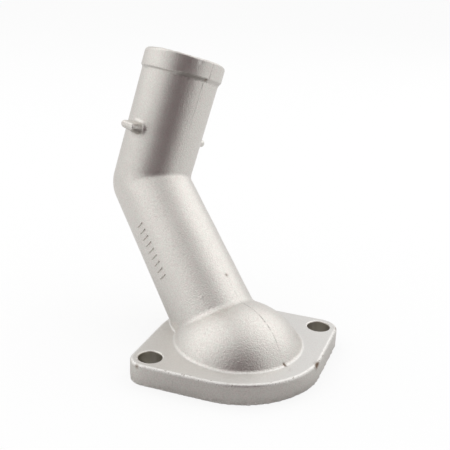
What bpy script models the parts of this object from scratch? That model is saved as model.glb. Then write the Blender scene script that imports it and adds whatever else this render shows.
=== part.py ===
"""One-piece cast aluminium coolant flange: a two-bolt flange with a hollow dome and a bent hose pipe.

Units are metres and +Z is up. The design frame has its zero at the dome axis, on the flange's top
face, with X along the line of the two bolt holes. The finished casting stands on its gasket face.
"""

from math import acos, asin, atan2, cos, pi, radians, sin, sqrt

import bmesh
import bpy
from mathutils import Matrix, Vector

# Flange plate
BOLT_SPACING = 0.0710
BOLT_HOLE_D = 0.0088
HOLE_CHAMFER = 0.0004
FLANGE_T = 0.0082
DISC_R = 0.0325
LUG_R = 0.0073
EDGE_ROUND = 0.0010

# Dome over the chamber
DOME_BASE_R = 0.0241
DOME_RISE = 0.0149
DOME_FILLET = 0.0013
DOME_WALL = 0.0045

# Lower leg of the pipe, from the flange face to the bend
FOOT_X = -0.0026
FOOT_Y = 0.0102
LOWER_LEN = 0.0712
LOWER_HEADING = radians(100.0)
LOWER_RISE = radians(39.55)

# Upper leg, from the bend to the open end
UPPER_LEN = 0.0546
UPPER_HEADING = radians(2.3)
UPPER_RISE = radians(74.1)

# Outside diameters of the tapered pipe, its wall, and the rounding of the crease inside the bend
FOOT_OD = 0.0331
BEND_OD = 0.0313
HOSE_OD = 0.0320
PIPE_WALL = 0.0026
CREASE_R = 0.0008

# Hose bead at the open end
BEAD_PROUD = 0.0007
BEAD_LEN = 0.0086
BEAD_SHOULDER = 0.0009
BEAD_ROUND = 0.0020
MOUTH_CHAMFER = 0.0006

# Two hose stop tabs on the upper leg, measured along it from the bend
TAB_WIDTH = 0.0074
TAB_THICK = 0.0028
TAB_PROUD = 0.0060
TAB_ROUND = 0.0005
NEAR_TAB_AT = 0.0222
FAR_TAB_AT = 0.0197

# Row of plain raised foundry ticks on the lower leg, measured along it from the flange face
TICK_COUNT = 9
TICK_PITCH = 0.0030
TICK_FIRST = 0.0262
TICK_HEIGHT = 0.0036
TICK_WIDTH = 0.0008
TICK_PROUD = 0.0004
TICK_TURN = radians(-82.0)

# Fineness of the round shapes, and the overlap by which one solid enters another
PIPE_SIDES = 48
BEND_STEPS = 5
DOME_STEPS = 56
LUG_STEPS = 10
DISC_STEPS = 14
HOLE_STEPS = 24
EMBED = 0.0004
OVERRUN = 0.0020

# Colour, roughness and metallic value of the blasted aluminium
ALUMINIUM_COLOUR = (0.70, 0.68, 0.64, 1.0)
ALUMINIUM_ROUGHNESS = 0.42
ALUMINIUM_METALLIC = 0.95


def heading(turn, rise):
    """Unit vector that turns from +X in plan and rises above the flange face."""
    return Vector((cos(rise) * cos(turn), cos(rise) * sin(turn), sin(rise)))


# The pipe's centre line and the directions square to it
FOOT = Vector((FOOT_X, FOOT_Y, 0.0))
LOWER_AXIS = heading(LOWER_HEADING, LOWER_RISE)
UPPER_AXIS = heading(UPPER_HEADING, UPPER_RISE)
BEND = FOOT + LOWER_LEN * LOWER_AXIS
BEND_NORMAL = LOWER_AXIS.cross(UPPER_AXIS).normalized()
BEND_ANGLE = acos(LOWER_AXIS.dot(UPPER_AXIS))
LOWER_OUT = LOWER_AXIS.cross(BEND_NORMAL).normalized()
UPPER_OUT = UPPER_AXIS.cross(BEND_NORMAL).normalized()

# Radius of the sphere that has the dome's base and rise, and the height of its centre
DOME_R = (DOME_BASE_R**2 + DOME_RISE**2) / (2 * DOME_RISE)
DOME_CENTRE = DOME_RISE - DOME_R
CHAMBER_R = sqrt((DOME_R - DOME_WALL) ** 2 - DOME_CENTRE**2)


def clear_scene():
    for obj in list(bpy.data.objects):
        bpy.data.objects.remove(obj, do_unlink=True)
    for collection in list(bpy.data.collections):
        bpy.data.collections.remove(collection)


def new_collection(name):
    collection = bpy.data.collections.new(name)
    bpy.context.scene.collection.children.link(collection)
    return collection


def cast_aluminium():
    material = bpy.data.materials.new("cast_aluminium")
    material.use_nodes = True
    shader = material.node_tree.nodes["Principled BSDF"]
    shader.inputs["Base Color"].default_value = ALUMINIUM_COLOUR
    shader.inputs["Roughness"].default_value = ALUMINIUM_ROUGHNESS
    shader.inputs["Metallic"].default_value = ALUMINIUM_METALLIC
    return material


def add_object(name, data, collection, frame):
    obj = bpy.data.objects.new(name, data)
    collection.objects.link(obj)
    obj.parent = frame
    return obj


def as_helper(obj):
    """A shape that is joined to the casting or cut out of it is not rendered itself."""
    obj.hide_render = True
    obj.display_type = "WIRE"
    return obj


def arc(centre_x, centre_y, radius, start, end, steps):
    """Points on a circle from one angle to another, both ends included."""
    angles = [start + (end - start) * i / steps for i in range(steps + 1)]
    return [(centre_x + radius * cos(a), centre_y + radius * sin(a)) for a in angles]


def extruded_outline(name, points, low, high, collection, frame):
    """Closed flat outline in X and Y, filled and extruded between two heights, as a welded mesh."""
    curve = bpy.data.curves.new(name, "CURVE")
    curve.dimensions = "2D"
    curve.fill_mode = "BOTH"
    curve.extrude = (high - low) / 2
    spline = curve.splines.new("POLY")
    spline.points.add(len(points) - 1)
    for target, (x, y) in zip(spline.points, points):
        target.co = (x, y, 0.0, 1.0)
    spline.use_cyclic_u = True
    source = bpy.data.objects.new(name + "_outline", curve)
    bpy.context.scene.collection.objects.link(source)
    bpy.context.view_layer.update()
    evaluated = source.evaluated_get(bpy.context.evaluated_depsgraph_get())
    mesh = bpy.data.meshes.new_from_object(evaluated)
    bpy.data.objects.remove(source, do_unlink=True)
    bpy.data.curves.remove(curve)
    work = bmesh.new()
    work.from_mesh(mesh)
    bmesh.ops.translate(work, verts=work.verts, vec=(0.0, 0.0, (high + low) / 2))
    bmesh.ops.remove_doubles(work, verts=work.verts, dist=1e-6)
    bmesh.ops.dissolve_limit(work, angle_limit=radians(1), verts=work.verts, edges=work.edges)
    bmesh.ops.recalc_face_normals(work, faces=work.faces)
    work.to_mesh(mesh)
    work.free()
    return add_object(name, mesh, collection, frame)


def turned(name, profile, steps, collection, frame):
    """Solid of revolution about Z from (radius, height) points that run down its outer side."""
    mesh = bpy.data.meshes.new(name)
    edges = [(i, i + 1) for i in range(len(profile) - 1)]
    mesh.from_pydata([(radius, 0.0, height) for radius, height in profile], edges, [])
    obj = add_object(name, mesh, collection, frame)
    screw = obj.modifiers.new("turn", "SCREW")
    screw.steps = steps
    screw.render_steps = steps
    screw.use_merge_vertices = True
    screw.merge_threshold = 1e-6
    return obj


def bevel_edges(obj, chosen, width, segments):
    """Rounds the edges for which chosen(edge) is true."""
    work = bmesh.new()
    work.from_mesh(obj.data)
    weight = work.edges.layers.float.new("bevel_weight_edge")
    for edge in work.edges:
        edge[weight] = 1.0 if chosen(edge) else 0.0
    work.to_mesh(obj.data)
    work.free()
    bevel = obj.modifiers.new("rounded_edge", "BEVEL")
    bevel.limit_method = "WEIGHT"
    bevel.width = width
    bevel.segments = segments


def flange_outline():
    """Round disc with a lug at each bolt hole, joined by straight tangent sides."""
    lug_x = BOLT_SPACING / 2
    slope = asin((DISC_R - LUG_R) / lug_x)
    edge = pi / 2 - slope
    points = arc(lug_x, 0.0, LUG_R, -edge, edge, LUG_STEPS)
    points += arc(0.0, 0.0, DISC_R, edge, pi - edge, DISC_STEPS)
    points += arc(-lug_x, 0.0, LUG_R, pi - edge, pi + edge, LUG_STEPS)
    points += arc(0.0, 0.0, DISC_R, pi + edge, 2 * pi - edge, DISC_STEPS)
    return points


def flange_plate(collection, frame):
    plate = extruded_outline("coolant_flange_casting", flange_outline(), -FLANGE_T, 0.0, collection, frame)

    def on_top_rim(edge):
        level = all(abs(vertex.co.z) < EMBED for vertex in edge.verts)
        return level and edge.calc_face_angle(0.0) > radians(60)

    bevel_edges(plate, on_top_rim, EDGE_ROUND, 3)
    return plate


def dome(collection, frame):
    """Spherical cap that sinks into the flange through a small fillet."""
    seat = -EMBED / 4
    base_r = sqrt((DOME_R + DOME_FILLET) ** 2 - (DOME_FILLET + seat - DOME_CENTRE) ** 2)
    contact = atan2(DOME_FILLET + seat - DOME_CENTRE, base_r)
    profile = [(0.0, DOME_RISE)]
    profile += arc(0.0, DOME_CENTRE, DOME_R, pi / 2, contact, 9)[1:]
    profile += arc(base_r, DOME_FILLET + seat, DOME_FILLET, contact + pi, 3 * pi / 2, 3)[1:]
    profile += [(base_r, -FLANGE_T / 2), (0.0, -FLANGE_T / 2)]
    return as_helper(turned("dome", profile, DOME_STEPS, collection, frame))


def chamber(collection, frame):
    """Hollow under the dome, open at the gasket face."""
    inner_r = DOME_R - DOME_WALL
    profile = [(0.0, DOME_CENTRE + inner_r)]
    profile += arc(0.0, DOME_CENTRE, inner_r, pi / 2, atan2(-DOME_CENTRE, CHAMBER_R), 8)[1:]
    profile += [(CHAMBER_R, -FLANGE_T - OVERRUN), (0.0, -FLANGE_T - OVERRUN)]
    return as_helper(turned("chamber", profile, DOME_STEPS, collection, frame))


def generator(turn, foot_radius, bend_radius, end_radius, from_foot, to_end):
    """Points of one line along the bent pipe's skin, at an angle round it from the bend's outer side.

    The line follows the lower leg, rounds the bend and follows the upper leg. On the bend's outer side
    the rounding is that of a ball as wide as the pipe, and on its inner side it is the small crease.
    """
    lower = cos(turn) * LOWER_OUT + sin(turn) * BEND_NORMAL
    upper = cos(turn) * UPPER_OUT + sin(turn) * BEND_NORMAL
    rounding = max(CREASE_R, bend_radius * cos(turn))
    offset = (bend_radius * cos(turn) - rounding) / cos(BEND_ANGLE / 2)
    outwards = (LOWER_OUT + UPPER_OUT).normalized()
    centre = BEND + bend_radius * sin(turn) * BEND_NORMAL + offset * outwards
    points = [FOOT + from_foot * LOWER_AXIS + foot_radius * lower]
    for step in range(BEND_STEPS + 1):
        swing = BEND_ANGLE * step / BEND_STEPS
        points.append(centre + rounding * (cos(swing) * LOWER_OUT + sin(swing) * LOWER_AXIS))
    points.append(BEND + to_end * UPPER_AXIS + end_radius * upper)
    return points


def bent_tube(name, radii, from_foot, to_end, floor, collection, frame):
    """Closed tapered pipe round the bend, lofted between its rings and cut level at its foot.

    The radii are those at the foot, at the bend and at the end.
    """
    work = bmesh.new()
    turns = [2 * pi * i / PIPE_SIDES for i in range(PIPE_SIDES)]
    skin = [[work.verts.new(point) for point in generator(turn, *radii, from_foot, to_end)] for turn in turns]
    for line, nearby in zip(skin, skin[1:] + skin[:1]):
        for j in range(len(line) - 1):
            work.faces.new((line[j], nearby[j], nearby[j + 1], line[j + 1]))
    work.faces.new([line[0] for line in skin])
    work.faces.new([line[-1] for line in skin])
    everything = work.verts[:] + work.edges[:] + work.faces[:]
    level = Vector((0.0, 0.0, floor))
    bmesh.ops.bisect_plane(work, geom=everything, plane_co=level, plane_no=(0, 0, 1), clear_inner=True)
    bmesh.ops.holes_fill(work, edges=[edge for edge in work.edges if edge.is_boundary])
    bmesh.ops.recalc_face_normals(work, faces=work.faces)
    mesh = bpy.data.meshes.new(name)
    work.to_mesh(mesh)
    work.free()
    return as_helper(add_object(name, mesh, collection, frame))


def pipe_skin(collection, frame):
    """The outside of the pipe, from inside the flange plate to inside the bead."""
    sunk = -0.75 * FLANGE_T
    start = sunk / sin(LOWER_RISE)
    inside_bead = UPPER_LEN - BEAD_LEN / 2
    start_r = BEND_OD / 2 + (FOOT_OD - BEND_OD) / 2 * (LOWER_LEN - start) / LOWER_LEN
    end_r = BEND_OD / 2 + (HOSE_OD - BEND_OD) / 2 * inside_bead / (UPPER_LEN - BEAD_LEN)
    return bent_tube("pipe", (start_r, BEND_OD / 2, end_r), start, inside_bead, sunk, collection, frame)


def pipe_bore(collection, frame):
    """The bore's foot stops one wall above the gasket face and opens into the chamber."""
    radii = [diameter / 2 - PIPE_WALL for diameter in (FOOT_OD, BEND_OD, HOSE_OD)]
    return bent_tube("bore", radii, 0.0, UPPER_LEN + OVERRUN, -FLANGE_T + PIPE_WALL, collection, frame)


def open_end_matrix(sides_turned):
    """Frame at the middle of the open end, with Z along the leg and X away from the bend.

    It is turned by a part of one side, so that no flat of a ring there lies edge to edge with the pipe's.
    """
    rotation = Matrix((UPPER_OUT, UPPER_AXIS.cross(UPPER_OUT), UPPER_AXIS)).transposed()
    turned_about_leg = Matrix.Rotation(sides_turned * 2 * pi / PIPE_SIDES, 4, "Z")
    return Matrix.Translation(BEND + UPPER_LEN * UPPER_AXIS) @ rotation.to_4x4() @ turned_about_leg


def bead(collection, frame):
    """Low ring round the open end, with a sloping shoulder and a rounded rim."""
    crest = HOSE_OD / 2 + BEAD_PROUD
    low = -BEAD_LEN
    profile = [(0.0, 0.0)]
    profile += arc(crest - BEAD_ROUND, -BEAD_ROUND, BEAD_ROUND, pi / 2, 0.0, 5)
    profile += [(crest, low + BEAD_SHOULDER), (HOSE_OD / 2 - EMBED, low), (0.0, low)]
    ring = turned("bead", profile, PIPE_SIDES, collection, frame)
    ring.matrix_local = open_end_matrix(1 / 2)
    return as_helper(ring)


def mouth(collection, frame):
    """Chamfer at the mouth of the bore."""
    bore_r = HOSE_OD / 2 - PIPE_WALL
    top_r = bore_r + MOUTH_CHAMFER
    profile = [(0.0, OVERRUN / 2), (top_r + OVERRUN / 2, OVERRUN / 2)]
    profile += [(bore_r - EMBED, -MOUTH_CHAMFER - EMBED), (0.0, -MOUTH_CHAMFER - EMBED)]
    cone = turned("mouth", profile, PIPE_SIDES, collection, frame)
    cone.matrix_local = open_end_matrix(1 / 4)
    return as_helper(cone)


def bolt_hole(name, side, collection, frame):
    """Clearance hole through one lug, chamfered at both faces."""
    radius = BOLT_HOLE_D / 2
    wide = radius + HOLE_CHAMFER + OVERRUN
    low = -FLANGE_T
    profile = [(0.0, OVERRUN), (wide, OVERRUN), (radius, -HOLE_CHAMFER)]
    profile += [(radius, low + HOLE_CHAMFER), (wide, low - OVERRUN), (0.0, low - OVERRUN)]
    hole = turned(name, profile, HOLE_STEPS, collection, frame)
    hole.location.x = side * BOLT_SPACING / 2
    return as_helper(hole)


def tab(name, side, along, collection, frame):
    """Small flat peg, round at both ends of its section, that stands square to the bend's plane."""
    half = TAB_THICK / 2
    flat = (TAB_WIDTH - TAB_THICK) / 2
    points = arc(flat, 0.0, half, -pi / 2, pi / 2, 6) + arc(-flat, 0.0, half, pi / 2, 3 * pi / 2, 6)
    root = BEND_OD / 2 - PIPE_WALL / 2 - TAB_WIDTH**2 / (8 * BEND_OD)
    peg = extruded_outline(name, points, root, HOSE_OD / 2 + TAB_PROUD, collection, frame)
    tip = HOSE_OD / 2 + TAB_PROUD

    def at_tip(edge):
        return all(abs(vertex.co.z - tip) < EMBED / 4 for vertex in edge.verts)

    bevel_edges(peg, at_tip, TAB_ROUND, 2)
    outwards = side * BEND_NORMAL
    across = UPPER_AXIS.cross(outwards)
    rotation = Matrix((across, outwards.cross(across), outwards)).transposed()
    peg.matrix_local = Matrix.Translation(BEND + along * UPPER_AXIS) @ rotation.to_4x4()
    return as_helper(peg)


def tick(index, collection, frame):
    """Low raised bar that lies across the row and follows the lower leg's taper."""
    along = TICK_FIRST + index * TICK_PITCH
    radius = FOOT_OD / 2 - (FOOT_OD - BEND_OD) / 2 * along / LOWER_LEN
    outwards = cos(TICK_TURN) * LOWER_OUT + sin(TICK_TURN) * BEND_NORMAL
    across = LOWER_AXIS.cross(outwards)
    work = bmesh.new()
    bmesh.ops.create_cube(work, size=1.0)
    bmesh.ops.scale(work, vec=(TICK_HEIGHT, TICK_WIDTH, TICK_PROUD + PIPE_WALL / 2), verts=work.verts)
    middle = radius + (TICK_PROUD - PIPE_WALL / 2) / 2
    bmesh.ops.translate(work, verts=work.verts, vec=(0.0, 0.0, middle))
    name = f"tick_{index + 1}"
    mesh = bpy.data.meshes.new(name)
    work.to_mesh(mesh)
    work.free()
    bar = add_object(name, mesh, collection, frame)
    rotation = Matrix((across, outwards.cross(across), outwards)).transposed()
    bar.matrix_local = Matrix.Translation(FOOT + along * LOWER_AXIS) @ rotation.to_4x4()
    return as_helper(bar)


def boolean(casting, operation, other):
    modifier = casting.modifiers.new(f"{operation.lower()}_{other.name}", "BOOLEAN")
    modifier.operation = operation
    modifier.object = other
    modifier.solver = "EXACT"


def stand_at_origin(casting, frame):
    """Moves the whole design so that the casting's box stands centred on the world's origin."""
    bpy.context.view_layer.update()
    evaluated = casting.evaluated_get(bpy.context.evaluated_depsgraph_get())
    corners = [casting.matrix_world @ vertex.co for vertex in evaluated.data.vertices]
    low = [min(corner[axis] for corner in corners) for axis in range(3)]
    high = [max(corner[axis] for corner in corners) for axis in range(3)]
    frame.location = (-(low[0] + high[0]) / 2, -(low[1] + high[1]) / 2, -low[2])


def build():
    clear_scene()
    shown = new_collection("coolant_flange")
    helpers = new_collection("coolant_flange_helpers")
    frame = bpy.data.objects.new("design_frame", None)
    shown.objects.link(frame)

    casting = flange_plate(shown, frame)
    casting.data.materials.append(cast_aluminium())
    added = [dome(helpers, frame), pipe_skin(helpers, frame), bead(helpers, frame)]
    added.append(tab("near_tab", -1, NEAR_TAB_AT, helpers, frame))
    added.append(tab("far_tab", 1, FAR_TAB_AT, helpers, frame))
    added += [tick(index, helpers, frame) for index in range(TICK_COUNT)]
    for shape in added:
        boolean(casting, "UNION", shape)

    cut = [chamber(helpers, frame), pipe_bore(helpers, frame), mouth(helpers, frame)]
    cut.append(bolt_hole("near_bolt_hole", -1, helpers, frame))
    cut.append(bolt_hole("far_bolt_hole", 1, helpers, frame))
    for shape in cut:
        boolean(casting, "DIFFERENCE", shape)

    casting.data.shade_smooth()
    casting.data.set_sharp_from_angle(angle=radians(30))
    stand_at_origin(casting, frame)


build()
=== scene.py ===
"""Looks of a one-piece cast aluminium coolant flange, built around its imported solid.

Units are metres and +Z is up. The casting's skin is written as a distance, negative inside the metal and
zero on the skin, in a design frame with its zero at the dome axis on the flange's top face. A fine net of
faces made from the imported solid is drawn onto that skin, which gives it the fillets, the parting line and
the slightly uneven faces of a casting.
"""

from collections import namedtuple
from math import cos, pi, radians, sin, sqrt

import bmesh
import bpy
import numpy as np
from bpy.props import FloatProperty, FloatVectorProperty, IntProperty, PointerProperty
from bpy.types import Operator, Panel, PropertyGroup
from mathutils import Matrix, Vector


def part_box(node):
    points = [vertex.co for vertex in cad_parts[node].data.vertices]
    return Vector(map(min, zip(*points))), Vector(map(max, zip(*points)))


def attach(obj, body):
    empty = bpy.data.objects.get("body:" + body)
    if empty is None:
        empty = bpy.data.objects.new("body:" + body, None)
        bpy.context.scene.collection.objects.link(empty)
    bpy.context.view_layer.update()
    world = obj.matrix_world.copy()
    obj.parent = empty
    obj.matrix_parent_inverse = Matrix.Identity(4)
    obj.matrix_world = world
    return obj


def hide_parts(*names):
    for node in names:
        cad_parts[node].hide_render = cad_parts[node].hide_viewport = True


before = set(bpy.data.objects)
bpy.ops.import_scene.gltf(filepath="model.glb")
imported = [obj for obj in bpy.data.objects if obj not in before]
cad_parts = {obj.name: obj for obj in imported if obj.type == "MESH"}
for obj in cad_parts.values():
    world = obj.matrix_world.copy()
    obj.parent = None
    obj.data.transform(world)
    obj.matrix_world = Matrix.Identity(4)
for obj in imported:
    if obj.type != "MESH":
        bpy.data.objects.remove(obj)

bl_info = {
    "name": "Coolant flange casting",
    "version": (1, 0, 0),
    "blender": (4, 5, 0),
    "location": "3D View > Sidebar > Casting",
    "description": "Builds a cast coolant flange and a plain studio round it",
    "category": "Object",
}

WHITE = (1.0, 1.0, 1.0, 1.0)
CASTING_NODE = "coolant_flange_casting"

# Lengths and shares in the skin's shape and its net
TINY = 1e-7
PROBE_STEP = 0.00004
LARGEST_STEP = 0.0006
EDGE_REACH = 0.0004
RAGGED_HEIGHT = 0.0025
RAGGED_WAVE = 0.0022
FILED_WAVE = 0.0050
SEAM_WAVE = 0.0090
PLAIN_SEAM_AT_END = 0.019
PLAIN_SEAM_ON_DOME = 0.016
BORE_FLOOR_ROUND = 0.0008
HOLLOW_ROUND = 0.0003
BORE_START = 0.9
DOME_CLEAR = 0.0235
FACE_BAND = 0.00005
SKIN_BAND = 0.0002
NET_LEVELS = ((0.20, 0.0010), (0.45, 0.0004))
# Strengths of the painted shade under the bead away from its long shoulder, and under the near tab
FAINT_PAINTED_SHADE = 0.35
TAB_PAINTED_SHADE = 0.8
RUBBED_HIGH_UP = 0.35

# Sizes and strengths in the materials and on the stage
BLOTCH_SIZE = 0.0042
TINT_SIZE = 0.0013
PATCH_SIZE = 0.0012
LUMPS_TO_DENTS = 0.55
LUMP_WEIGHT = 0.4
DENT_DEPTH = 0.00014
CUT_GRAIN = 0.0002
CUT_DEPTH = 0.00006
CUT_BUMP = 0.08
CAST_METAL = 0.95
FLOOR_LEVEL = 0.90
FLOOR_GLOW = 0.80
FLOOR_HALF = 3.0
SENSOR_WIDTH = 36.0


def length(name, description, default):
    return FloatProperty(name=name, description=description, default=default, unit="LENGTH", precision=5)


def angle(name, description, degrees):
    return FloatProperty(name=name, description=description, default=radians(degrees), subtype="ANGLE")


def share(name, description, default):
    return FloatProperty(name=name, description=description, default=default, min=0.0, max=1.0)


def colour(name, description, default):
    return FloatVectorProperty(name=name, description=description, default=default, subtype="COLOR")


class FlangeSizes(PropertyGroup):
    bolt_spacing: length("Bolt spacing", "Between the middles of the two bolt holes", 0.0710)
    hole_radius: length("Hole radius", "Radius of a bolt hole", 0.0044)
    hole_round: length("Hole rim", "Rounding of a bolt hole's rim", 0.0006)
    thickness: length("Thickness", "Thickness of the flange plate", 0.0082)
    disc_radius: length("Disc radius", "Radius of the round middle of the plate", 0.0325)
    lug_radius: length("Lug radius", "Radius round a bolt hole", 0.0073)
    top_round: length("Top edge", "Rounding of the plate's top edge", 0.0011)
    low_round: length("Lower edge", "Rounding of the plate's lower edge", 0.0003)
    ragged: length("Ragged edge", "Unevenness of the cast lower edge", 0.00012)


class DomeSizes(PropertyGroup):
    base_radius: length("Base radius", "Radius of the dome at the flange face", 0.0242)
    rise: length("Rise", "Height of the dome over the flange face", 0.0149)
    fillet: length("Fillet", "Fillet between the dome and the plate", 0.0008)
    wall: length("Wall", "Thickness of the dome over its chamber", 0.0045)


class PipeSizes(PropertyGroup):
    foot_x: length("Foot X", "Where the pipe's centre line leaves the flange face", -0.0026)
    foot_y: length("Foot Y", "Where the pipe's centre line leaves the flange face", 0.0102)
    lower_length: length("Lower leg", "Centre line from the flange face to the bend", 0.0712)
    lower_heading: angle("Lower heading", "Turn of the lower leg from the bolt line", 100.0)
    lower_rise: angle("Lower rise", "Rise of the lower leg over the flange face", 39.55)
    upper_length: length("Upper leg", "Centre line from the bend to the open end", 0.0546)
    upper_heading: angle("Upper heading", "Turn of the upper leg from the bolt line", 2.3)
    upper_rise: angle("Upper rise", "Rise of the upper leg over the flange face", 74.1)
    foot_radius: length("Foot radius", "Outside radius at the flange face", 0.01655)
    bend_radius: length("Bend radius", "Outside radius at the bend", 0.01565)
    hose_radius: length("Hose radius", "Outside radius at the hose end", 0.0160)
    wall: length("Wall", "Thickness of the pipe", 0.0026)
    crease: length("Crease", "Rounding inside the bend", 0.0007)
    fillet: length("Fillet", "Fillet between the pipe and what it stands on", 0.0010)


class BeadSizes(PropertyGroup):
    proud: length("Proud", "How far the bead stands out from the pipe", 0.0007)
    inner_proud: length("Inner proud", "How far it stands out on the bend's inner side", 0.0009)
    length: length("Length", "Length of the bead along the pipe", 0.0083)
    shoulder: length("Shoulder", "Length of its sloping shoulder", 0.0005)
    long_shoulder: length("Long shoulder", "Length of the shoulder on the bend's inner side", 0.0014)
    rim_round: length("Rim", "Rounding of the open end", 0.0020)
    risen_round: length("Risen rim", "Rounding of the open end where it rises", 0.0009)
    corner: length("Corner", "Rounding of the shoulder's edges", 0.00025)
    seam_turn: angle("Parting line place", "Place of the parting line round the bead", -176.0)
    mouth_chamfer: length("Mouth", "Chamfer at the mouth of the bore", 0.0006)
    uneven: length("Uneven rim", "Unevenness of the filed rim", 0.00008)
    lean: angle("Lean", "Lean of the bead and its end from square", 4.3)
    lean_turn: angle("Lean's turn", "Direction in which the end leans, from the bolt line", 78.0)
    filed_off: length("Filed off", "How much is filed off the end", 0.00078)
    rise: length("Rise", "Height of the low hump in the rim", 0.0003)
    rise_turn: angle("Rise's place", "Place of the hump round the upper leg", -140.0)


class TabSizes(PropertyGroup):
    width: length("Width", "Width across the pipe", 0.0074)
    thick: length("Thickness", "Thickness along the pipe", 0.0028)
    proud: length("Proud", "How far the near tab stands out from the pipe", 0.0060)
    far_proud: length("Far proud", "How far the far tab stands out from the pipe", 0.0066)
    draft: share("Draft", "Growth of half the thickness towards the root", 0.17)
    sag: share("Sag", "How much lower the root is than the tip", 0.10)
    tip_round: length("Tip", "Rounding of the tip", 0.0009)
    fillet: length("Fillet", "Fillet at the root", 0.0013)
    near_at: length("Near tab", "Place of the near tab along the upper leg", 0.0222)
    far_at: length("Far tab", "Place of the far tab along the upper leg", 0.0197)


class TickSizes(PropertyGroup):
    count: IntProperty(name="Count", description="Number of foundry ticks", default=9, min=1)
    pitch: length("Pitch", "Distance from one tick to the next", 0.0030)
    first: length("First", "Place of the first tick along the lower leg", 0.0262)
    tall: length("Height", "Length of a tick across the row", 0.0036)
    wide: length("Width", "Width of a tick along the row", 0.0008)
    proud: length("Proud", "How far a tick stands out of the skin", 0.0004)
    sunk: length("Sunk", "How far a tick reaches into the wall", 0.0010)
    turn: angle("Turn", "Place of the row round the leg, from the bend's outer side", -82.0)


class SkinSizes(PropertyGroup):
    net: length("Net", "Side of a face of the coarse net", 0.00096)
    wave_height: length("Wave height", "Height of the slow waves in the cast skin", 0.00002)
    wave_length: length("Wave length", "Length of the slow waves in the cast skin", 0.0110)
    seam_height: length("Parting line", "Height of the parting line's ridge", 0.00010)
    seam_width: length("Parting line width", "Half width of the ridge", 0.00022)
    seam_faint: share("Faint parting line", "Strength of the line between its plain stretches", 0.10)
    seam_turn: angle("Parting line place", "Place of the line round the pipe", -170.0)


class FinishColours(PropertyGroup):
    skin: colour("Cast skin", "Colour of the blasted skin", (0.72, 0.695, 0.655))
    skin_light: colour("Light grain", "Colour of the skin's light spots", (0.775, 0.75, 0.71))
    skin_dark: colour("Dark grain", "Colour of the skin's dark spots", (0.645, 0.615, 0.58))
    bare_edge: colour("Worn edge", "Colour of rubbed edges", (0.83, 0.815, 0.785))
    plate: colour("Plate top", "Colour of the plate's smoother top face", (0.74, 0.73, 0.715))
    # Dark colour of the parting line, also used for the painted shade under the bead and the near tab
    seam_and_shade: colour("Seam and shade", "Colour beside the parting line", (0.30, 0.28, 0.26))
    stain: colour("Stain", "Colour of the small brown chips", (0.13, 0.075, 0.035))
    machined: colour("Machined", "Colour of the cut faces", (0.66, 0.63, 0.55))
    skin_rough: share("Skin roughness", "Roughness of the blasted skin", 0.39)
    machined_rough: share("Machined roughness", "Roughness of the cut faces", 0.34)
    grain: length("Grain", "Size of the blasted dents", 0.00050)
    grain_depth: share("Grain depth", "Strength of the blasted dents", 0.85)


class StageSettings(PropertyGroup):
    camera_turn: angle("Camera turn", "Turn of the view from +Y towards +X", 26.07)
    camera_tilt: angle("Camera tilt", "Tilt of the view below level", 19.89)
    camera_roll: angle("Camera roll", "Roll of the camera", 2.70)
    camera_place: FloatVectorProperty(
        name="Camera place",
        description="Place of the camera in the design frame",
        default=(-0.13173, -0.25317, 0.14965),
        subtype="TRANSLATION",
    )
    lens: FloatProperty(name="Lens", description="Focal length", default=67.2264, subtype="DISTANCE_CAMERA")
    room: share("Room", "Level of the light from all round", 0.90)
    side_sheet: share("Floor at the sides", "Level of the mirrored floor beside the casting", 0.75)
    mirror: share("Mirrored room", "Level that the metal mirrors from the other sides", 0.83)
    dark_side: colour("Dark side", "What the metal mirrors on the camera's side", (0.098, 0.062, 0.068))
    dark_turn: angle("Dark side's turn", "Turn of the dark side's middle from -Y towards -X", 17.5)
    dark_width: angle("Dark side's width", "From the dark side's middle to its outer edge", 51.5)
    dark_squash: share("Dark side's height", "Less than 1 makes the dark side taller than wide", 0.36)
    sheet: length("White sheet", "Reach of the pale floor that the metal mirrors", 0.100)
    sheet_level: share("White sheet's level", "Level of the pale floor close to the casting", 0.66)
    lamp_size: length("Lamp size", "Side of a soft lamp", 0.80)
    lamp_far: length("Lamp distance", "Distance of a soft lamp", 0.75)
    lamp_rise: angle("Lamp rise", "Rise of the soft lamps over level", 45.0)
    right_turn: angle("Right lamp's turn", "Turn of the right lamp from -Y towards +X", 100.0)
    right_watts: FloatProperty(name="Right lamp", description="Power of the right lamp", default=1.15)
    left_turn: angle("Left lamp's turn", "Turn of the left lamp from -Y towards -X", 125.0)
    left_watts: FloatProperty(name="Left lamp", description="Power of the left lamp", default=1.0)


DOME_SEAM = (0.0045, -0.0110, 0.0120)
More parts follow.
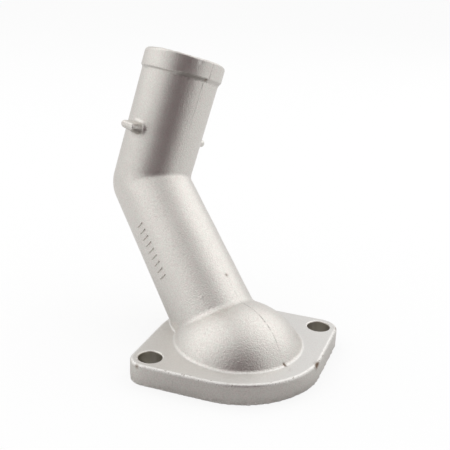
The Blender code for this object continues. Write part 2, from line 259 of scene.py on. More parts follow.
# A negative stain is bare metal, and a negative depth is a bump.
Nick = namedtuple("Nick", "place reach depth stain")
NICKS = {
    "dome's foot": Nick((0.0071, -0.0226, 0.0004), 0.0004, 0.00030, 1.0),
    "dome's foot, outer end": Nick((0.0075, -0.0233, 0.0001), 0.0004, 0.00025, 0.9),
    "right edge, lower chip": Nick((0.0190, -0.0264, -0.0009), 0.0008, 0.00020, 1.0),
    "rim's facet": Nick((0.0020, 0.0485, 0.0974), 0.0010, 0.00015, -0.8),
    "plate": Nick((0.0076, -0.0262, 0.0000), 0.0005, 0.00012, 0.3),
    "right edge, chip": Nick((0.0199, -0.0257, -0.0007), 0.0009, 0.00025, 1.0),
    "right edge, spot": Nick((0.0209, -0.0249, -0.0005), 0.0006, 0.00010, 0.6),
    "left lug": Nick((-0.0419, -0.0034, -0.0009), 0.0006, 0.00010, 0.8),
    "right lug": Nick((0.0416, -0.0040, -0.0010), 0.0009, 0.00010, 0.9),
    "lower leg": Nick((-0.0002, 0.0122, 0.0223), 0.0005, 0.00020, 0.7),
    "bead's shoulder": Nick((0.0045, 0.0487, 0.0903), 0.0004, 0.00025, 0.8),
    "high speck": Nick((-0.0047, 0.0490, 0.0802), 0.0004, -0.00012, 0.0),
    "middle speck": Nick((-0.0092, 0.0489, 0.0647), 0.0004, -0.00010, 0.0),
    "low speck": Nick((-0.0121, 0.0080, 0.0166), 0.0004, -0.00010, 0.0),
}

GROUPS = {
    "flange": FlangeSizes,
    "dome": DomeSizes,
    "pipe": PipeSizes,
    "bead": BeadSizes,
    "tab": TabSizes,
    "tick": TickSizes,
    "skin": SkinSizes,
    "finish": FinishColours,
    "stage": StageSettings,
}


def rounded_union(a, b, radius):
    """Distance to both shapes together, with a fillet where they meet."""
    inside = np.maximum(radius, np.minimum(a, b))
    return inside - np.hypot(np.maximum(radius - a, 0.0), np.maximum(radius - b, 0.0))


def rounded_common(a, b, radius):
    """Distance to what two shapes have in common, with its edges rounded."""
    outside = np.minimum(-radius, np.maximum(a, b))
    return outside + np.hypot(np.maximum(radius + a, 0.0), np.maximum(radius + b, 0.0))


def smooth_step(low, high, value):
    part = np.clip((value - low) / (high - low), 0.0, 1.0)
    return part * part * (3.0 - 2.0 * part)


def heading(turn, rise):
    """Unit vector that turns from +X in plan and rises above the flange face."""
    return np.array((cos(rise) * cos(turn), cos(rise) * sin(turn), sin(rise)))


def unit(vector):
    return vector / np.linalg.norm(vector)


def nearness(points, place, reach):
    """1 at a place, falling softly to 0 beyond its reach."""
    away = points - np.array(place)
    return np.exp(-(away * away).sum(1) / reach**2)


def waves(points, wave_length, seed, count=9):
    """Smooth uneven field between about -1 and 1, the sum of waves in fixed random directions."""
    rng = np.random.default_rng(seed)
    total = np.zeros(len(points))
    for _ in range(count):
        direction = unit(rng.normal(size=3))
        swing = 2 * pi / wave_length * rng.uniform(0.6, 1.5)
        total += np.sin(points @ direction * swing + rng.uniform(0, 2 * pi))
    return total / sqrt(count)


class CastingShape:
    """The casting as distances from points of the design frame."""

    def __init__(self, sizes):
        self.sizes = sizes
        pipe = sizes.pipe
        self.foot = np.array((pipe.foot_x, pipe.foot_y, 0.0))
        self.lower_axis = heading(pipe.lower_heading, pipe.lower_rise)
        self.upper_axis = heading(pipe.upper_heading, pipe.upper_rise)
        self.bend = self.foot + pipe.lower_length * self.lower_axis
        self.bend_normal = unit(np.cross(self.lower_axis, self.upper_axis))
        self.lower_out = unit(np.cross(self.lower_axis, self.bend_normal))
        self.upper_out = unit(np.cross(self.upper_axis, self.bend_normal))
        dome = sizes.dome
        self.dome_radius = (dome.base_radius**2 + dome.rise**2) / (2 * dome.rise)
        self.dome_centre = np.array((0.0, 0.0, dome.rise - self.dome_radius))

    def plate(self, points):
        """Disc with two lugs, its sides tangent to both, below the flange's top face."""
        flange = self.sizes.flange
        x = np.abs(points[:, 0])
        y = np.abs(points[:, 1])
        lug_x = flange.bolt_spacing / 2
        fall = (flange.disc_radius - flange.lug_radius) / lug_x
        run = sqrt(1 - fall * fall)
        along = run * x - fall * y
        side = run * y + fall * x - flange.disc_radius
        outline = np.where(along < 0, np.hypot(x, y) - flange.disc_radius, side)
        outline = np.where(along > run * lug_x, np.hypot(x - lug_x, y) - flange.lug_radius, outline)
        near_low_edge = 1 - smooth_step(0.0, RAGGED_HEIGHT, points[:, 2] + flange.thickness)
        outline = outline + flange.ragged * near_low_edge * (1.0 + waves(points, RAGGED_WAVE, 5))
        return rounded_common(outline, points[:, 2], flange.top_round)

    def leg(self, points, start, axis, start_radius, end_radius, leg_length):
        """Place along a leg's axis, and distance from its tapered skin."""
        away = points - start
        along = away @ axis
        from_axis = np.sqrt(np.maximum((away * away).sum(1) - along * along, 0.0))
        return along, from_axis - start_radius - (end_radius - start_radius) * along / leg_length

    def bent_pipe(self, points, inwards):
        """Both legs, which meet in a ball at the bend. Their radii are smaller by inwards."""
        pipe = self.sizes.pipe
        radii = (pipe.foot_radius, pipe.bend_radius, pipe.hose_radius)
        foot_r, bend_r, hose_r = (radius - inwards for radius in radii)
        ball = np.linalg.norm(points - self.bend, axis=1) - bend_r
        along, lower = self.leg(points, self.foot, self.lower_axis, foot_r, bend_r, pipe.lower_length)
        lower = np.where(along > pipe.lower_length, ball, lower)
        straight = pipe.upper_length - self.sizes.bead.length
        along, upper = self.leg(points, self.bend, self.upper_axis, bend_r, hose_r, straight)
        upper = np.where(along < 0, ball, upper)
        inner_side = (points - self.bend) @ unit(self.upper_axis - self.lower_axis)
        crease = pipe.crease * smooth_step(0.0, 0.35 * bend_r, inner_side) + TINY
        return along, rounded_union(lower, upper, crease)

    def towards(self, outwards, turn):
        """Cosine of the angle round the upper leg from a turn, which is 0 on the bend's outer side."""
        side = cos(turn) * self.upper_out + sin(turn) * self.bend_normal
        return outwards @ side / np.maximum(np.linalg.norm(outwards, axis=1), 0.001)

    def risen_part(self, outwards):
        """1 where the rim rises and is less rounded, falling softly to 0 round it."""
        return smooth_step(0.2, 0.9, self.towards(outwards, self.sizes.bead.rise_turn))

    def at_end(self, points):
        """Way out from the upper leg's axis, and height over the leaning end."""
        bead = self.sizes.bead
        away = points - self.bend - self.sizes.pipe.upper_length * self.upper_axis
        along = away @ self.upper_axis
        outwards = away - along[:, None] * self.upper_axis
        filed = unit(self.upper_axis + sin(bead.lean) * heading(bead.lean_turn, 0.0))
        near_end = smooth_step(-0.0035, -0.0005, along)
        over = away @ filed + bead.uneven * near_end * (1.0 + waves(points, FILED_WAVE, 11))
        over -= bead.rise * self.risen_part(outwards)
        return outwards, over + bead.filed_off

    def shoulder_run(self, outwards):
        """Length of the bead's shoulder, and 1 where it is long and 0 where it is short."""
        bead = self.sizes.bead
        long_part = smooth_step(0.35, 0.77, self.towards(outwards, pi))
        return bead.shoulder + (bead.long_shoulder - bead.shoulder) * long_part, long_part

    def bead(self, points):
        """Ring round the open end, with a rounded rim and a sloping shoulder."""
        bead = self.sizes.bead
        outwards, over_end = self.at_end(points)
        from_axis = np.linalg.norm(outwards, axis=1)
        from_skin = from_axis - self.sizes.pipe.hose_radius
        rim_round = bead.rim_round + (bead.risen_round - bead.rim_round) * self.risen_part(outwards)
        inner_part = smooth_step(-0.2, 0.6, self.towards(outwards, pi))
        proud = bead.proud + (bead.inner_proud - bead.proud) * inner_part
        rim = rounded_common(from_skin - proud, over_end, rim_round)
        run = self.shoulder_run(outwards)[0]
        shoulder = (from_skin * run - (over_end + bead.length) * proud) / np.hypot(run, proud)
        return rounded_common(rim, shoulder, bead.corner)

    def painted_shade(self, points):
        """Painted shade below the bead, strong on its long shoulder and faint elsewhere, and under the near
        tab: colour darkened where shade falls under them.
        """
        bead = self.sizes.bead
        outwards, over_end = self.at_end(points)
        run, long_part = self.shoulder_run(outwards)
        seam_side = cos(bead.seam_turn) * self.bend_normal - sin(bead.seam_turn) * self.upper_out
        long_part *= smooth_step(0.0, 0.0010, outwards @ seam_side)
        place = over_end + bead.length
        on_shoulder = smooth_step(-0.0004, 0.0, place) * (1 - smooth_step(0.8, 1.1, place / run))
        tab = self.sizes.tab
        away = points - self.bend - tab.near_at * self.upper_axis
        out = -(away @ self.bend_normal) - self.sizes.pipe.hose_radius
        height = away @ self.upper_axis
        on_tab = smooth_step(0.0, 0.0010, out) * smooth_step(0.0002, -0.0008, height)
        on_tab *= (np.abs(height) < 0.006) * smooth_step(0.0065, 0.0040, out)
        return np.maximum(on_shoulder * (FAINT_PAINTED_SHADE + (1 - FAINT_PAINTED_SHADE) * long_part), TAB_PAINTED_SHADE * on_tab)

    def tab(self, points, side, place, proud):
        """Flat peg, round at both ends of its section, that stands square to the bend's plane."""
        tab = self.sizes.tab
        outwards = side * self.bend_normal
        away = points - self.bend - place * self.upper_axis
        across = away @ np.cross(self.upper_axis, outwards)
        tip = away @ outwards - self.sizes.pipe.hose_radius - proud
        depth = np.clip(-tip, 0.0, proud)
        half = tab.thick / 2 + tab.draft * depth
        flat = tab.width / 2 - half
        height = away @ self.upper_axis + tab.sag * depth
        section = np.hypot(np.maximum(np.abs(across) - flat, 0.0), height) - half
        root = self.sizes.pipe.bend_radius - self.sizes.pipe.wall / 2 - away @ outwards
        return np.maximum(rounded_common(section, tip, tab.tip_round), root)

    def seam(self, points):
        """Distance from the plane in which the two halves of the mould met, which steps aside at the bead."""
        away = points - self.bend
        along = away @ self.upper_axis
        on_bead = along > self.sizes.pipe.upper_length - self.sizes.bead.length
        turn = np.where(on_bead, self.sizes.bead.seam_turn, self.sizes.skin.seam_turn)
        across = away @ self.bend_normal * np.cos(turn)
        lower = across - away @ self.lower_out * np.sin(turn)
        upper = across - away @ self.upper_out * np.sin(turn)
        on_upper = away @ (self.upper_axis + self.lower_axis) > 0
        return np.abs(np.where(on_upper, upper, lower))

    def ridge(self, points):
        """Height of the parting line's ridge, plain at the open end and on the dome, faint between them."""
        skin = self.sizes.skin
        end = self.bend + self.sizes.pipe.upper_length * self.upper_axis
        plain = nearness(points, end, PLAIN_SEAM_AT_END) * 1.6
        plain += nearness(points, DOME_SEAM, PLAIN_SEAM_ON_DOME)
        strength = (skin.seam_faint + np.minimum(plain, 1.0)) * (0.75 + 0.5 * waves(points, SEAM_WAVE, 3))
        clear_of_plate = smooth_step(0.0002, 0.0012, points[:, 2])
        profile = np.exp(-((self.seam(points) / skin.seam_width) ** 2))
        return skin.seam_height * np.clip(strength, 0.0, 1.0) * clear_of_plate * profile

    def nicks(self, points):
        """Depth of the small dents that the photo shows."""
        return sum(nick.depth * nearness(points, nick.place, nick.reach) for nick in NICKS.values())

    def outside(self, points):
        """The casting without its hollows."""
        sizes = self.sizes
        dome = np.linalg.norm(points - self.dome_centre, axis=1) - self.dome_radius
        body = rounded_union(self.plate(points), dome, sizes.dome.fillet)
        along, pipe = self.bent_pipe(points, 0.0)
        end = sizes.pipe.upper_length - sizes.bead.length / 2
        pipe = np.maximum(pipe, along - end)
        tab = sizes.tab
        for side, place, proud in ((-1, tab.near_at, tab.proud), (1, tab.far_at, tab.far_proud)):
            pipe = rounded_union(pipe, self.tab(points, side, place, proud), tab.fillet)
        pipe = rounded_union(pipe, self.bead(points), sizes.bead.corner)
        whole = rounded_union(body, pipe, sizes.pipe.fillet)
        whole += sizes.skin.wave_height * (2.0 + waves(points, sizes.skin.wave_length, 2))
        whole += self.nicks(points) - self.ridge(points)
        gasket_face = -sizes.flange.thickness - points[:, 2]
        return rounded_common(whole, gasket_face, sizes.flange.low_round)

    def hollow(self, points):
        """Bore, chamber and bolt holes."""
        sizes = self.sizes
        floor = -sizes.flange.thickness + sizes.pipe.wall
        bore = self.bent_pipe(points, sizes.pipe.wall)[1]
        inside_chamber = (self.foot - points) @ self.lower_axis - BORE_START * sizes.pipe.foot_radius
        bore = rounded_common(np.maximum(bore, inside_chamber), floor - points[:, 2], BORE_FLOOR_ROUND)
        outwards, over_end = self.at_end(points)
        mouth = sizes.pipe.hose_radius - sizes.pipe.wall + sizes.bead.mouth_chamfer
        bore = np.minimum(bore, (np.linalg.norm(outwards, axis=1) - mouth - over_end) / sqrt(2))
        inner_radius = self.dome_radius - sizes.dome.wall
        chamber_radius = sqrt(inner_radius**2 - self.dome_centre[2] ** 2)
        chamber = np.where(
            points[:, 2] > 0,
            np.linalg.norm(points - self.dome_centre, axis=1) - inner_radius,
            np.hypot(points[:, 0], points[:, 1]) - chamber_radius,
        )
        return np.minimum(bore, chamber)

    def bolt_holes(self, points):
        lug_x = self.sizes.flange.bolt_spacing / 2
        return np.hypot(np.abs(points[:, 0]) - lug_x, points[:, 1]) - self.sizes.flange.hole_radius

    def skin(self, points):
        """The finished casting."""
        shell = rounded_common(self.outside(points), -self.hollow(points), HOLLOW_ROUND)
        return rounded_common(shell, -self.bolt_holes(points), self.sizes.flange.hole_round)


def probed(distance, points):
    """Distance and unit normal at points, from the four corners of a small tetrahedron round each."""
    total = np.zeros(len(points))
    slopes = np.zeros_like(points)
    for corner in ((1, 1, 1), (1, -1, -1), (-1, 1, -1), (-1, -1, 1)):
        value = distance(points + np.array(corner) * PROBE_STEP)
        total += value / 4
        slopes += value[:, None] * corner
    return total, slopes / np.maximum(np.linalg.norm(slopes, axis=1), 1e-12)[:, None]


def drawn_onto(distance, points, rounds):
    """Points moved along the normals until they lie on the skin."""
    for _ in range(rounds):
        away, normal = probed(distance, points)
        points = points - np.clip(away, -LARGEST_STEP, LARGEST_STEP)[:, None] * normal
    return points


def evened(distance, points, edges, rounds):
    """Points slid along the skin towards the middle of their neighbours."""
    count = np.bincount(edges.ravel(), minlength=len(points))[:, None]
    for _ in range(rounds):
        total = np.empty_like(points)
        for axis in range(3):
            total[:, axis] = np.bincount(edges[:, 0], points[edges[:, 1], axis], len(points))
            total[:, axis] += np.bincount(edges[:, 1], points[edges[:, 0], axis], len(points))
        slide = total / np.maximum(count, 1) - points
        normal = probed(distance, points)[1]
        slide -= (slide * normal).sum(1)[:, None] * normal
        points = drawn_onto(distance, points + 0.5 * slide, 1)
    return points


def read_values(items, name, width, kind=float):
    """Values of vertices, edges or faces, a row for each."""
    flat = np.empty(len(items) * width, kind)
    items.foreach_get(name, flat)
    return flat.reshape(-1, width)


def coarse_net(node, side):
    """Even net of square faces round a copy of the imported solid."""
    mesh = node.data.copy()
    work = bmesh.new()
    work.from_mesh(mesh)
    bmesh.ops.remove_doubles(work, verts=work.verts, dist=1e-6)
    work.to_mesh(mesh)
    work.free()
    draft = bpy.data.objects.new("casting_net", mesh)
    bpy.context.scene.collection.objects.link(draft)
    remesh = draft.modifiers.new("net", "REMESH")
    remesh.mode = "VOXEL"
    remesh.voxel_size = side
    evaluated = draft.evaluated_get(bpy.context.evaluated_depsgraph_get())
    net = bpy.data.meshes.new_from_object(evaluated)
    net.materials.clear()
    bpy.data.objects.remove(draft, do_unlink=True)
    return net


def sharpness(distance, points):
    """How strongly the skin turns at each point: positive on outer edges, negative in inner corners."""
    normal = probed(distance, points)[1]
    helper = np.where(np.abs(normal[:, :1]) < 0.6, (1.0, 0.0, 0.0), (0.0, 1.0, 0.0))
    first = np.cross(normal, helper)
    first /= np.linalg.norm(first, axis=1)[:, None]
    second = np.cross(normal, first)
    total = np.zeros(len(points))
    for direction in (first, -first, second, -second):
        total += distance(points + EDGE_REACH * direction)
    return total / EDGE_REACH


def refined(mesh, chosen):
    """Splits the faces that have a chosen vertex into four."""
    work = bmesh.new()
    work.from_mesh(mesh)
    work.verts.ensure_lookup_table()
    edges = {edge for index in np.flatnonzero(chosen) for edge in work.verts[index].link_edges}
    faces = {face for edge in edges for face in edge.link_faces}
    edges = list({edge for face in faces for edge in face.edges})
    bmesh.ops.subdivide_edges(work, edges=edges, cuts=1, use_grid_fill=True)
    many_sided = [face for face in work.faces if len(face.verts) > 4]
    bmesh.ops.triangulate(work, faces=many_sided)
    work.to_mesh(mesh)
    work.free()


def add_values(mesh, name, values):
    mesh.attributes.new(name, "FLOAT", "POINT").data.foreach_set("value", values.astype(np.float32))


def casting_mesh(node, shape, offset, side):
    """The net drawn onto the casting's skin, finer where the skin turns or carries the parting line."""
    mesh = coarse_net(node, side)
    points = drawn_onto(shape.skin, read_values(mesh.vertices, "co", 3) - offset, 4)
    points = evened(shape.skin, points, read_values(mesh.edges, "vertices", 2, np.int32), 4)
    for turn, seam_reach in NET_LEVELS:
        mesh.vertices.foreach_set("co", points.ravel())
        turning = np.abs(sharpness(shape.skin, points)) > turn
        near_seam = (shape.seam(points) < seam_reach) & (shape.outside(points) > -0.0004)
        near_seam &= points[:, 2] > SKIN_BAND
        refined(mesh, turning | near_seam)
        points = drawn_onto(shape.skin, read_values(mesh.vertices, "co", 3), 3)
        points = evened(shape.skin, points, read_values(mesh.edges, "vertices", 2, np.int32), 2)
    points = drawn_onto(shape.skin, points, 3)
    mesh.vertices.foreach_set("co", (points + offset).ravel())
    mesh.update()
    turning = sharpness(shape.skin, points)
    rubbed = np.where(points[:, 2] > 0.001, RUBBED_HIGH_UP, 1.0)
    add_values(mesh, "outer_edge", rubbed * np.clip(turning, 0, 1))
    # Painted shade under the bead and the near tab, kept as a mask for the material
    add_values(mesh, "painted_shade", shape.painted_shade(points))
    add_values(mesh, "parting_line", shape.ridge(points) / shape.sizes.skin.seam_height)
    stains = [nick.stain * nearness(points, nick.place, 1.3 * nick.reach) for nick in NICKS.values()]
    add_values(mesh, "stain", np.sum(stains, axis=0))
    plate_top = np.abs(points[:, 2] + FACE_BAND) < SKIN_BAND
    plate_top &= np.hypot(points[:, 0], points[:, 1]) > DOME_CLEAR
    add_values(mesh, "plate_top", plate_top.astype(float))
    mesh.shade_smooth()
    mesh.normals_split_custom_set_from_vertices(probed(shape.skin, points)[1].tolist())
    return mesh


def add_piece(name, mesh):
    piece = bpy.data.objects.new(name, mesh)
    bpy.context.scene.collection.objects.link(piece)
    return piece


def design_offset(sizes):
    """Place of the design frame's zero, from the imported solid's box."""
    low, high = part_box(CASTING_NODE)
    return np.array(((low.x + high.x) / 2, low.y + sizes.flange.disc_radius, low.z + sizes.flange.thickness))


class Nodes:
    """Adds and links the nodes of one tree."""

    def __init__(self, tree):
        self.tree = tree

    def add(self, kind, inputs=None, **settings):
        node = self.tree.nodes.new(kind)
        for name, value in settings.items():
            setattr(node, name, value)
        return self.fill(node, inputs or {})

    def fill(self, node, values):
        """Links or sets a node's inputs."""
        for socket, value in values.items():
            if isinstance(value, bpy.types.NodeSocket):
                self.tree.links.new(value, node.inputs[socket])
            else:
                node.inputs[socket].default_value = value
        return node

    def math(self, operation, first, second=0.0, clamp=False):
        node = self.add("ShaderNodeMath", {0: first, 1: second}, operation=operation, use_clamp=clamp)
        return node.outputs[0]

    def ramp(self, value, low, high, to_low=0.0, to_high=1.0):
        inputs = {"Value": value, "From Min": low, "From Max": high, "To Min": to_low, "To Max": to_high}
        return self.add("ShaderNodeMapRange", inputs, interpolation_type="SMOOTHSTEP").outputs[0]

    def blend(self, factor, first, second, blend_type="MIX"):
        inputs = {"Factor": factor, 6: first, 7: second}
        return self.add("ShaderNodeMix", inputs, data_type="RGBA", blend_type=blend_type).outputs[2]

    def vector(self, operation, first, second=(0.0, 0.0, 0.0)):
        return self.add("ShaderNodeVectorMath", {0: first, 1: second}, operation=operation).outputs

    def noise(self, place, scale, detail=2.0, rough=0.5):
        inputs = {"Vector": place, "Scale": scale, "Detail": detail, "Roughness": rough}
        return self.add("ShaderNodeTexNoise", inputs).outputs["Fac"]

    def attribute(self, name):
        return self.add("ShaderNodeAttribute", attribute_name=name).outputs["Fac"]


def rgba(colour_value):
    return (*colour_value, 1.0)


def grey(level):
    return (level, level, level, 1.0)


def new_group(name, kind, inputs, outputs):
    """Node group with named sockets. Returns its nodes and what its input node gives."""
    tree = bpy.data.node_groups.new(name, kind)
    for way, sockets in (("INPUT", inputs), ("OUTPUT", outputs)):
        for socket, socket_kind in sockets.items():
            tree.interface.new_socket(socket, in_out=way, socket_type=socket_kind)
    nodes = Nodes(tree)
    return nodes, nodes.add("NodeGroupInput").outputs


def blasted_grain_group():
    """Fine dents and slow blotches of a blasted casting."""
    nodes, given = new_group(
        "blasted_grain",
        "ShaderNodeTree",
        {"Place": "NodeSocketVector", "Size": "NodeSocketFloat"},
        {
            "Height": "NodeSocketFloat",
            "Blotch": "NodeSocketFloat",
            "Fine": "NodeSocketFloat",
            "Tint": "NodeSocketColor",
        },
    )
    place = given["Place"]
    dents = nodes.noise(place, nodes.math("DIVIDE", 1.0, given["Size"]), 3.0)
    lumps = nodes.noise(place, nodes.math("DIVIDE", LUMPS_TO_DENTS, given["Size"]))
    blotch = nodes.noise(place, 1.0 / BLOTCH_SIZE, 3.0, 0.6)
    hue = nodes.ramp(nodes.noise(place, 1.0 / TINT_SIZE), 0.30, 0.70)
    results = {
        "Height": nodes.math("ADD", dents, nodes.math("MULTIPLY", lumps, LUMP_WEIGHT)),
        "Blotch": nodes.ramp(blotch, 0.30, 0.70),
        "Fine": nodes.ramp(dents, 0.30, 0.70),
        "Tint": nodes.blend(hue, (1.0, 0.970, 0.976, 1.0), (0.976, 1.0, 0.990, 1.0)),
    }
    nodes.add("NodeGroupOutput", results)
    return nodes.tree


def new_material(name, grain_group, grain_size):
    """Material with its nodes, its shader, the place on the object and the grain's outputs."""
    material = bpy.data.materials.new(name)
    material.use_nodes = True
    nodes = Nodes(material.node_tree)
    shader = material.node_tree.nodes["Principled BSDF"]
    place = nodes.add("ShaderNodeTexCoord").outputs["Object"]
    inputs = {"Place": place, "Size": grain_size}
    grain = nodes.add("ShaderNodeGroup", inputs, node_tree=grain_group)
    return nodes, shader, place, grain.outputs


def bumped(nodes, height, strength, distance):
    inputs = {"Height": height, "Strength": strength, "Distance": distance}
    return nodes.add("ShaderNodeBump", inputs).outputs["Normal"]


def cast_skin_material(finish, grain_group):
    """Blasted skin: matt grey with a fine grain, rubbed edges, a few brown chips, and painted shade under the
    bead and the near tab.
    """
    nodes, shader, place, grain = new_material("cast_skin", grain_group, finish.grain)
    calm_plate = nodes.math("MULTIPLY", nodes.attribute("plate_top"), 0.6)
    calm = nodes.math("MAXIMUM", nodes.ramp(grain["Blotch"], 0.0, 1.0, 0.30, 0.60), calm_plate)
    tone = nodes.blend(grain["Fine"], rgba(finish.skin_dark), rgba(finish.skin_light))
    tone = nodes.blend(calm, tone, rgba(finish.skin))
    tone = nodes.blend(1.0, tone, grain["Tint"], "MULTIPLY")
    tone = nodes.blend(calm_plate, tone, rgba(finish.plate))
    edge = nodes.attribute("outer_edge")
    stain = nodes.attribute("stain")
    patchy = nodes.noise(place, 1.0 / PATCH_SIZE, 3.0, 0.7)
    rubbed = nodes.math("MULTIPLY", nodes.ramp(edge, 0.08, 0.40), nodes.ramp(patchy, 0.36, 0.54), clamp=True)
    rubbed = nodes.math("MAXIMUM", rubbed, nodes.math("MULTIPLY", stain, -1.0))
    tone = nodes.blend(rubbed, tone, rgba(finish.bare_edge))
    # Dark parting line, joined below with the painted shade under the bead and the near tab, both in one dark
    # colour
    line = nodes.math("MULTIPLY", nodes.attribute("parting_line"), nodes.ramp(patchy, 0.35, 0.60))
    line = nodes.math("MAXIMUM", line, nodes.attribute("painted_shade"))
    tone = nodes.blend(nodes.math("MULTIPLY", line, 0.9, clamp=True), tone, rgba(finish.seam_and_shade))
    chips = nodes.math("MULTIPLY", nodes.ramp(edge, 0.10, 0.35), nodes.ramp(patchy, 0.58, 0.66), clamp=True)
    chips = nodes.math("MAXIMUM", nodes.math("MULTIPLY", chips, 0.55), stain)
    rough = nodes.ramp(grain["Fine"], 0.0, 1.0, finish.skin_rough + 0.08, finish.skin_rough - 0.06)
    depth = nodes.ramp(nodes.attribute("plate_top"), 0.0, 1.0, finish.grain_depth, 0.6 * finish.grain_depth)
    values = {
        "Base Color": nodes.blend(chips, tone, rgba(finish.stain)),
        "Roughness": nodes.math("ADD", rough, nodes.math("MULTIPLY", rubbed, 0.08)),
        "Metallic": nodes.math("SUBTRACT", CAST_METAL, nodes.math("MULTIPLY", chips, 0.6)),
        "Normal": bumped(nodes, grain["Height"], depth, DENT_DEPTH),
    }
    nodes.fill(shader, values)


def machined_material(finish, grain_group):
    """Cut faces: the gasket face and the walls of the bolt holes."""
    nodes, shader, _, grain = new_material("machined_face", grain_group, CUT_GRAIN)
    values = {
        "Base Color": nodes.blend(grain["Blotch"], rgba(finish.skin_dark), rgba(finish.machined)),
        "Roughness": nodes.ramp(grain["Fine"], 0, 1, finish.machined_rough, 0.42),
        "Metallic": 1.0,
        "Normal": bumped(nodes, grain["Height"], CUT_BUMP, CUT_DEPTH),
    }
    nodes.fill(shader, values)


def seen_and_glossy(nodes):
    """Whether a ray comes from the camera, and whether the metal mirrors it."""
    light_path = nodes.add("ShaderNodeLightPath").outputs
    seen = nodes.math("MAXIMUM", light_path["Is Camera Ray"], light_path["Is Transmission Ray"])
    return seen, light_path["Is Glossy Ray"]


def floor_material(stage, middle):
    """Pale floor: white to the camera, and in the metal a white sheet that ends towards the dark side.

    The sheet's middle lies under the flange.
    """
    material = bpy.data.materials.new("pale_floor")
    material.use_nodes = True
    material.node_tree.nodes.clear()
    nodes = Nodes(material.node_tree)
    seen, glossy = seen_and_glossy(nodes)
    place = nodes.add("ShaderNodeTexCoord").outputs["Object"]
    far = nodes.vector("DISTANCE", place, middle)["Value"]
    sheet = nodes.ramp(far, 0.5 * stage.sheet, stage.sheet, 0.3, 1.0)
    beside = mirrored_colour(nodes, stage, place, stage.side_sheet)
    mirrored = nodes.blend(sheet, grey(stage.sheet_level), beside)
    tone = nodes.blend(glossy, grey(FLOOR_LEVEL), mirrored)
    paint = nodes.add("ShaderNodeBsdfDiffuse", {"Color": tone})
    glow = nodes.add("ShaderNodeEmission", {"Color": WHITE, "Strength": 1.0})
    inputs = {0: nodes.math("MULTIPLY", seen, FLOOR_GLOW), 1: paint.outputs[0], 2: glow.outputs[0]}
    mix = nodes.add("ShaderNodeMixShader", inputs)
    nodes.add("ShaderNodeOutputMaterial", {"Surface": mix.outputs[0]})
    return material


def get_materials(finish):
    """The casting's two materials, made once."""
    if "cast_skin" not in bpy.data.materials:
        grain_group = blasted_grain_group()
        cast_skin_material(finish, grain_group)
        machined_material(finish, grain_group)
    return bpy.data.materials["cast_skin"], bpy.data.materials["machined_face"]


def settings(context):
    return context.scene.coolant_flange


class CASTING_OT_body(Operator):
    """Builds the whole casting in place of its plain solid"""

    bl_idname = "casting.body"
    bl_label = "Casting"

    def execute(self, context):
        sizes = settings(context)
        shape = CastingShape(sizes)
        offset = design_offset(sizes)
        mesh = casting_mesh(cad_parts[CASTING_NODE], shape, offset, sizes.skin.net)
        for material in get_materials(sizes.finish):
            mesh.materials.append(material)
        centres = read_values(mesh.polygons, "center", 3) - offset
        cut = np.abs(shape.bolt_holes(centres)) < SKIN_BAND
        cut |= centres[:, 2] < -sizes.flange.thickness + FACE_BAND
        mesh.polygons.foreach_set("material_index", cut.astype(np.int32))
        mesh.update()
        casting = add_piece("casting", mesh)
        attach(casting, "root")
        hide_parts(CASTING_NODE)
        return {"FINISHED"}


def tick_tree():
    """Row of low rounded bars at even steps along a line, as real faces with their material."""
    nodes, given = new_group(
        "foundry_tick_row",
        "GeometryNodeTree",
        {
            "Count": "NodeSocketInt",
            "Start": "NodeSocketVector",
            "Step": "NodeSocketVector",
            "Turn": "NodeSocketRotation",
            "Bar": "NodeSocketVector",
            "Material": "NodeSocketMaterial",
        },
        {"Geometry": "NodeSocketGeometry"},
    )
    inputs = {"Count": given["Count"], "Start Location": given["Start"], "Offset": given["Step"]}
    row = nodes.add("GeometryNodeMeshLine", inputs, mode="OFFSET")
    inputs = {"Size": given["Bar"], "Vertices X": 6, "Vertices Y": 3, "Vertices Z": 3}
    block = nodes.add("GeometryNodeMeshCube", inputs)
    bar = nodes.add("GeometryNodeSubdivisionSurface", {"Mesh": block.outputs["Mesh"], "Level": 2})
    inputs = {"Points": row.outputs[0], "Instance": bar.outputs[0], "Rotation": given["Turn"]}
    placed = nodes.add("GeometryNodeInstanceOnPoints", inputs)
    solid = nodes.add("GeometryNodeRealizeInstances", {"Geometry": placed.outputs[0]})
    smooth = nodes.add("GeometryNodeSetShadeSmooth", {"Geometry": solid.outputs[0]})
    inputs = {"Geometry": smooth.outputs[0], "Material": given["Material"]}
    painted = nodes.add("GeometryNodeSetMaterial", inputs)
    nodes.add("NodeGroupOutput", {"Geometry": painted.outputs[0]})
    return nodes.tree


def made_by_tree(name, tree, values):
    """Runs a Geometry Nodes tree on an empty object and returns its result as a plain mesh."""
    maker = add_piece(name + "_maker", bpy.data.meshes.new(name + "_maker"))
    modifier = maker.modifiers.new(name, "NODES")
    modifier.node_group = tree
    for socket in tree.interface.items_tree:
        if socket.in_out == "INPUT":
            modifier[socket.identifier] = values[socket.name]
    evaluated = maker.evaluated_get(bpy.context.evaluated_depsgraph_get())
    mesh = bpy.data.meshes.new_from_object(evaluated)
    bpy.data.objects.remove(maker, do_unlink=True)
    return mesh


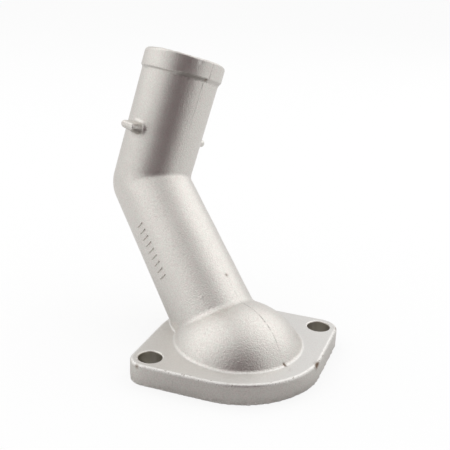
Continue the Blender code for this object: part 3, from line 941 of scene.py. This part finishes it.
class CASTING_OT_foundry_ticks(Operator):
    """Builds the row of plain raised ticks on the lower leg"""

    bl_idname = "casting.foundry_ticks"
    bl_label = "Foundry ticks"

    def execute(self, context):
        sizes = settings(context)
        tick = sizes.tick
        shape = CastingShape(sizes)
        pipe = sizes.pipe
        taper = (pipe.foot_radius - pipe.bend_radius) / pipe.lower_length
        outwards = cos(tick.turn) * shape.lower_out + sin(tick.turn) * shape.bend_normal
        along = unit(shape.lower_axis - taper * outwards)
        across = np.cross(along, outwards)
        radius = pipe.foot_radius - taper * tick.first + (tick.proud - tick.sunk) / 2
        start = design_offset(sizes) + shape.foot + tick.first * shape.lower_axis + radius * outwards
        turn = Matrix((across, along, np.cross(across, along))).transposed().to_euler()
        values = {
            "Count": tick.count,
            "Start": Vector(start),
            "Step": Vector(along * tick.pitch),
            "Turn": turn,
            "Bar": Vector((tick.tall, tick.wide, tick.proud + tick.sunk)),
            "Material": get_materials(sizes.finish)[0],
        }
        ticks = add_piece("foundry_ticks", made_by_tree("foundry_ticks", tick_tree(), values))
        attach(ticks, "root")
        return {"FINISHED"}


def mirrored_colour(nodes, stage, direction, level):
    """What the metal mirrors from a direction: pale, with a soft dark side where the camera is."""
    flat = nodes.vector("MULTIPLY", direction, (1.0, 1.0, stage.dark_squash))["Vector"]
    flat = nodes.vector("NORMALIZE", flat)["Vector"]
    middle = tuple(-heading(pi / 2 - stage.dark_turn, 0.0))
    facing = nodes.vector("DOT_PRODUCT", flat, middle)["Value"]
    dark = nodes.ramp(facing, cos(stage.dark_width), cos(0.4 * stage.dark_width))
    return nodes.blend(dark, grey(level), rgba(stage.dark_side))


def studio_world(stage):
    """White all round, with a soft dark side that only the metal mirrors."""
    world = bpy.data.worlds.new("studio")
    world.use_nodes = True
    bpy.context.scene.world = world
    world.node_tree.nodes.clear()
    nodes = Nodes(world.node_tree)
    direction = nodes.add("ShaderNodeTexCoord").outputs["Generated"]
    seen, glossy = seen_and_glossy(nodes)
    mirrored = mirrored_colour(nodes, stage, direction, stage.mirror)
    shown = nodes.blend(glossy, grey(stage.room), mirrored)
    shown = nodes.blend(seen, shown, WHITE)
    back = nodes.add("ShaderNodeBackground", {"Color": shown, "Strength": 1.0})
    nodes.add("ShaderNodeOutputWorld", {"Surface": back.outputs[0]})


def add_lamp(name, stage, turn, watts):
    """Soft square lamp that faces the casting. Turn is from -Y towards +X."""
    lamp = bpy.data.lights.new(name, "AREA")
    lamp.size = stage.lamp_size
    lamp.energy = watts
    towards = Vector(heading(turn - pi / 2, stage.lamp_rise))
    holder = bpy.data.objects.new(name, lamp)
    holder.location = stage.lamp_far * towards
    holder.rotation_euler = towards.to_track_quat("Z", "Y").to_euler()
    bpy.context.scene.collection.objects.link(holder)


class CASTING_OT_stage(Operator):
    """Builds the pale floor, the soft light and the camera"""

    bl_idname = "casting.stage"
    bl_label = "Stage"

    def execute(self, context):
        sizes = settings(context)
        stage = sizes.stage
        scene = context.scene
        scene.view_settings.view_transform = "Standard"
        offset = Vector(design_offset(sizes))

        work = bmesh.new()
        bmesh.ops.create_grid(work, x_segments=1, y_segments=1, size=FLOOR_HALF)
        mesh = bpy.data.meshes.new("floor")
        work.to_mesh(mesh)
        work.free()
        mesh.materials.append(floor_material(stage, (offset.x, offset.y, 0.0)))
        floor = add_piece("floor", mesh)

        camera = bpy.data.cameras.new("camera")
        camera.lens = stage.lens
        camera.sensor_width = SENSOR_WIDTH
        camera.sensor_fit = "HORIZONTAL"
        viewer = bpy.data.objects.new("camera", camera)
        place = Matrix.Translation(offset + Vector(stage.camera_place))
        turn = Matrix.Rotation(-stage.camera_turn, 4, "Z")
        tilt = Matrix.Rotation(pi / 2 - stage.camera_tilt, 4, "X")
        roll = Matrix.Rotation(stage.camera_roll, 4, "Z")
        viewer.matrix_world = place @ turn @ tilt @ roll
        scene.collection.objects.link(viewer)
        scene.camera = viewer

        studio_world(stage)
        add_lamp("right_lamp", stage, stage.right_turn, stage.right_watts)
        add_lamp("left_lamp", stage, -stage.left_turn, stage.left_watts)
        return {"FINISHED"}


class CASTING_PT_panel(Panel):
    bl_label = "Coolant flange"
    bl_idname = "CASTING_PT_panel"
    bl_space_type = "VIEW_3D"
    bl_region_type = "UI"
    bl_category = "Casting"

    def draw(self, context):
        column = self.layout.column()
        for operator in OPERATORS:
            column.operator(operator.bl_idname)
        for name in GROUPS:
            box = self.layout.box()
            box.label(text=name.capitalize())
            group = getattr(settings(context), name)
            for field in GROUPS[name].__annotations__:
                box.prop(group, field)


class CoolantFlangeSettings(PropertyGroup):
    __annotations__ = {name: PointerProperty(type=group) for name, group in GROUPS.items()}


OPERATORS = (CASTING_OT_stage, CASTING_OT_body, CASTING_OT_foundry_ticks)
CLASSES = (*GROUPS.values(), CoolantFlangeSettings, *OPERATORS, CASTING_PT_panel)


def register():
    for item in CLASSES:
        bpy.utils.register_class(item)
    bpy.types.Scene.coolant_flange = PointerProperty(type=CoolantFlangeSettings)


def unregister():
    del bpy.types.Scene.coolant_flange
    for item in reversed(CLASSES):
        bpy.utils.unregister_class(item)


def main():
    register()
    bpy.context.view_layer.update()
    bpy.ops.casting.stage()
    bpy.ops.casting.body()
    bpy.ops.casting.foundry_ticks()


if __name__ == "__main__":
    main()
